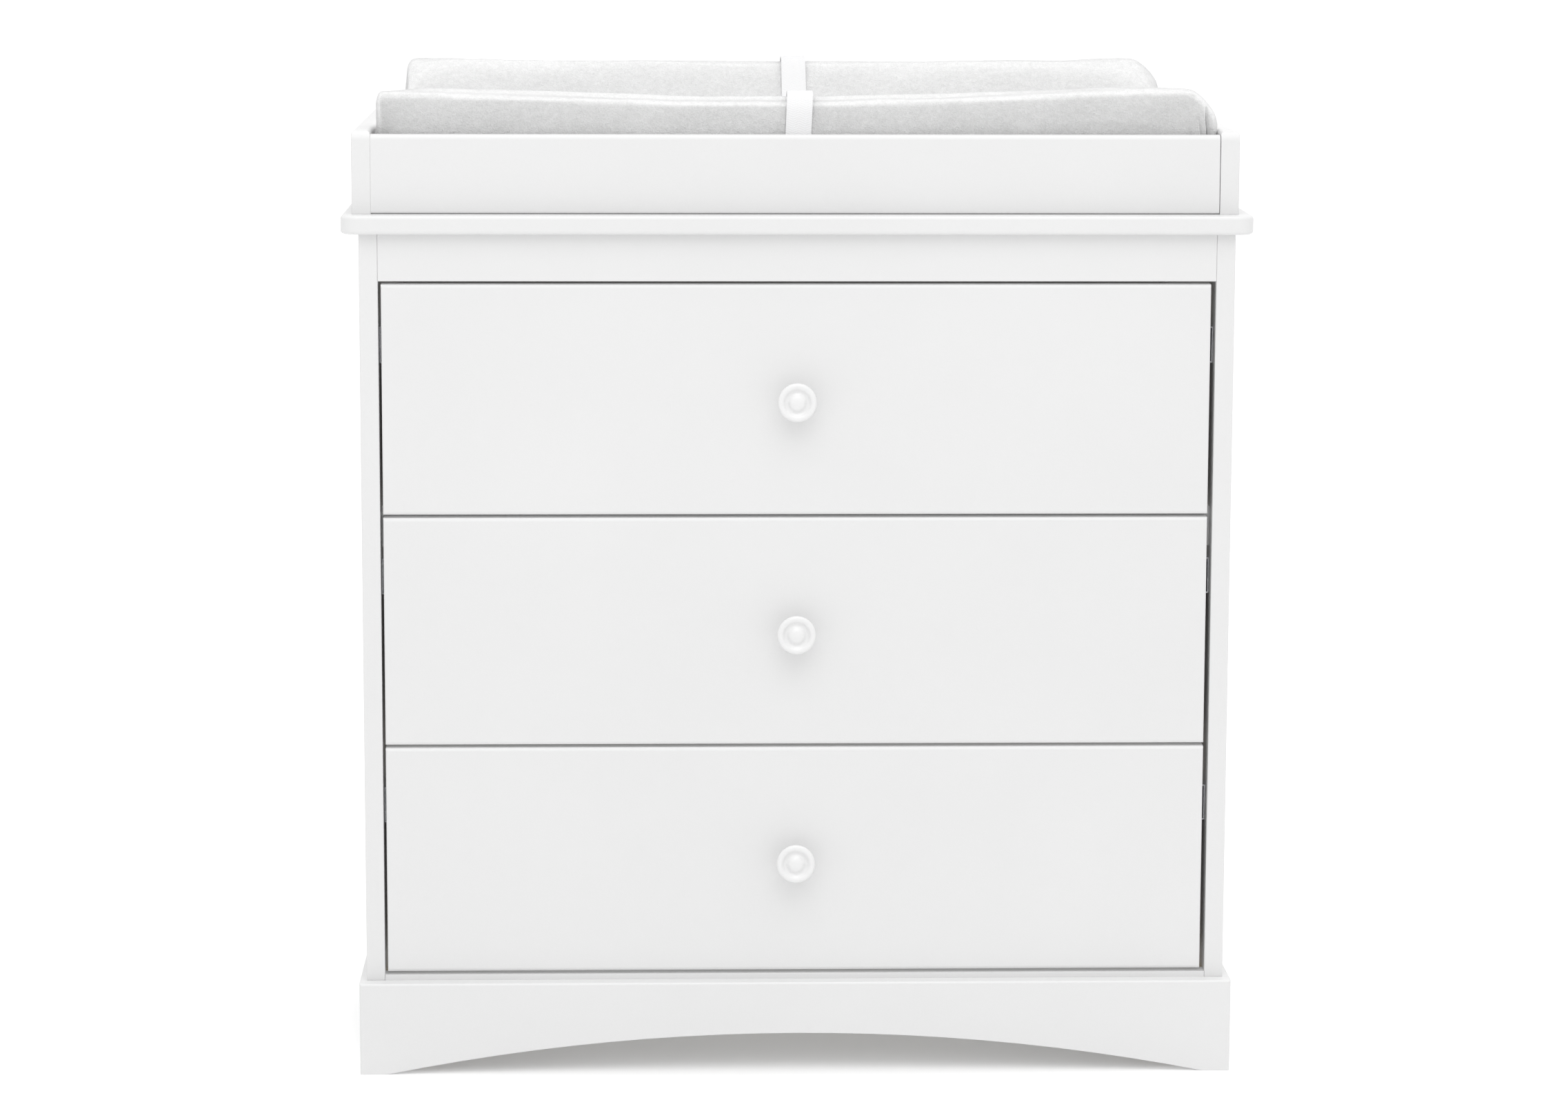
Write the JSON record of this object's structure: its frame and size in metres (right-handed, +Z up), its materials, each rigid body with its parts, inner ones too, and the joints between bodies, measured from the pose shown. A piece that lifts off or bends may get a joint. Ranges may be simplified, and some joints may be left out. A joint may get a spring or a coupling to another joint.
{
  "type": "changing table",
  "caption": "Dresser-style changing table with drawers on telescopic runners, a changing tray on top and a lift-off contoured pad with a safety strap.",
  "frame": {"origin": "centre of the bounding box's base, on the floor", "axes": "+Z up, +X to the right as seen from the front, drawers open towards -Y"},
  "size_m": [0.876, 0.497, 0.9718],
  "materials": {
    "white_paint": "satin white paint on fibreboard",
    "knob_paint": "satin white paint on turned wood",
    "raw_board": "bare sawn wood",
    "drawer_board": "pale foil-faced board",
    "hardboard": "pale foil-faced hardboard",
    "zinc_steel": "bright zinc plate",
    "white_plastic": "moulded plastic",
    "plush": "short-pile plush",
    "webbing": "woven webbing"
  },
  "bodies": {
    "carcass": {"top_board": "white_paint", "left_side_panel": "white_paint", "right_side_panel": "white_paint", "back_panel": "hardboard", "top_front_rail": "white_paint", "top_back_rail": "white_paint", "cross_rail": "white_paint", "bottom_front_rail": "white_paint", "base_front": "white_paint", "base_left": "white_paint", "base_right": "white_paint", "base_back": "white_paint", "base_corner_blocks": "raw_board", "corner_brackets": "zinc_steel", "bracket_screws": "zinc_steel", "cam_covers": "white_plastic", "tray_front_rail": "white_paint", "tray_back_rail": "white_paint", "tray_left_rail": "white_paint", "tray_right_rail": "white_paint", "tray_brackets": "zinc_steel", "tray_screws": "zinc_steel", "lower_runner_outer": "zinc_steel", "middle_runner_outer": "zinc_steel", "upper_runner_outer": "zinc_steel"},
    "changing_pad": {"pad": "plush", "strap_front": "webbing", "strap_rear": "webbing", "buckle_socket": "white_plastic", "buckle_plug": "white_plastic"},
    "lower_drawer": {"lower_front": "white_paint", "lower_box_left": "drawer_board", "lower_box_right": "drawer_board", "lower_box_back": "drawer_board", "lower_box_bottom": "hardboard", "lower_knob": "knob_paint", "lower_fixings": "zinc_steel", "lower_runner_inner": "zinc_steel"},
    "lower_runner": {"lower_runner_mid": "zinc_steel"},
    "middle_drawer": {"middle_front": "white_paint", "middle_box_left": "drawer_board", "middle_box_right": "drawer_board", "middle_box_back": "drawer_board", "middle_box_bottom": "hardboard", "middle_knob": "knob_paint", "middle_fixings": "zinc_steel", "middle_runner_inner": "zinc_steel"},
    "middle_runner": {"middle_runner_mid": "zinc_steel"},
    "upper_drawer": {"upper_front": "white_paint", "upper_box_left": "drawer_board", "upper_box_right": "drawer_board", "upper_box_back": "drawer_board", "upper_box_bottom": "hardboard", "upper_knob": "knob_paint", "upper_fixings": "zinc_steel", "upper_runner_inner": "zinc_steel"},
    "upper_runner": {"upper_runner_mid": "zinc_steel"}
  },
  "joints": [
    {"name": "lower_drawer_slide", "type": "slide", "parent": "carcass", "child": "lower_drawer", "axis": [0, -1, 0], "range_m": [0, 0.38]},
    {"name": "lower_runner_slide", "type": "slide", "parent": "carcass", "child": "lower_runner", "axis": [0, -1, 0], "range_m": [0, 0.19]},
    {"name": "middle_drawer_slide", "type": "slide", "parent": "carcass", "child": "middle_drawer", "axis": [0, -1, 0], "range_m": [0, 0.38]},
    {"name": "middle_runner_slide", "type": "slide", "parent": "carcass", "child": "middle_runner", "axis": [0, -1, 0], "range_m": [0, 0.19]},
    {"name": "upper_drawer_slide", "type": "slide", "parent": "carcass", "child": "upper_drawer", "axis": [0, -1, 0], "range_m": [0, 0.38]},
    {"name": "upper_runner_slide", "type": "slide", "parent": "carcass", "child": "upper_runner", "axis": [0, -1, 0], "range_m": [0, 0.19]},
    {"name": "pad_lift", "type": "slide", "parent": "carcass", "child": "changing_pad", "axis": [0, 0, 1], "range_m": [0, 0.25]}
  ],
  "couplings": [
    {"joint": "lower_runner_slide", "follows": "lower_drawer_slide", "ratio": 0.5},
    {"joint": "middle_runner_slide", "follows": "middle_drawer_slide", "ratio": 0.5},
    {"joint": "upper_runner_slide", "follows": "upper_drawer_slide", "ratio": 0.5}
  ]
}
